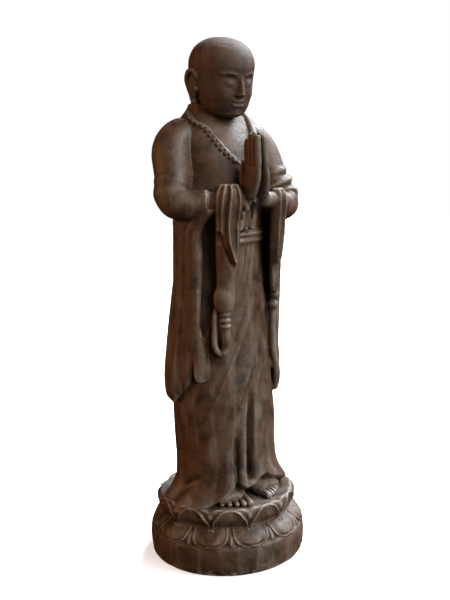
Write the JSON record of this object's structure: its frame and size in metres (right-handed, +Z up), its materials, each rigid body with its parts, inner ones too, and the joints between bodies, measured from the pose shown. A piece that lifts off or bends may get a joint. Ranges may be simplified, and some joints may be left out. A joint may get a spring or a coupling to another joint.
{
  "type": "monk statue",
  "caption": "Standing robed monk with palms pressed together, long hanging sleeves and a bead string, cast in one piece with a round lotus base; a free-standing sculpture.",
  "frame": {"origin": "middle of the underside of the lotus base", "axes": "+Z up; the monk faces -Y and the monk's left hand is towards +X"},
  "size_m": [0.3058, 0.3068, 1],
  "materials": {
    "stained_stone": "brown stain over cast stone, semi-gloss, pale worn edges"
  },
  "bodies": {
    "root": {"monk_statue": "stained_stone"}
  },
  "joints": []
}
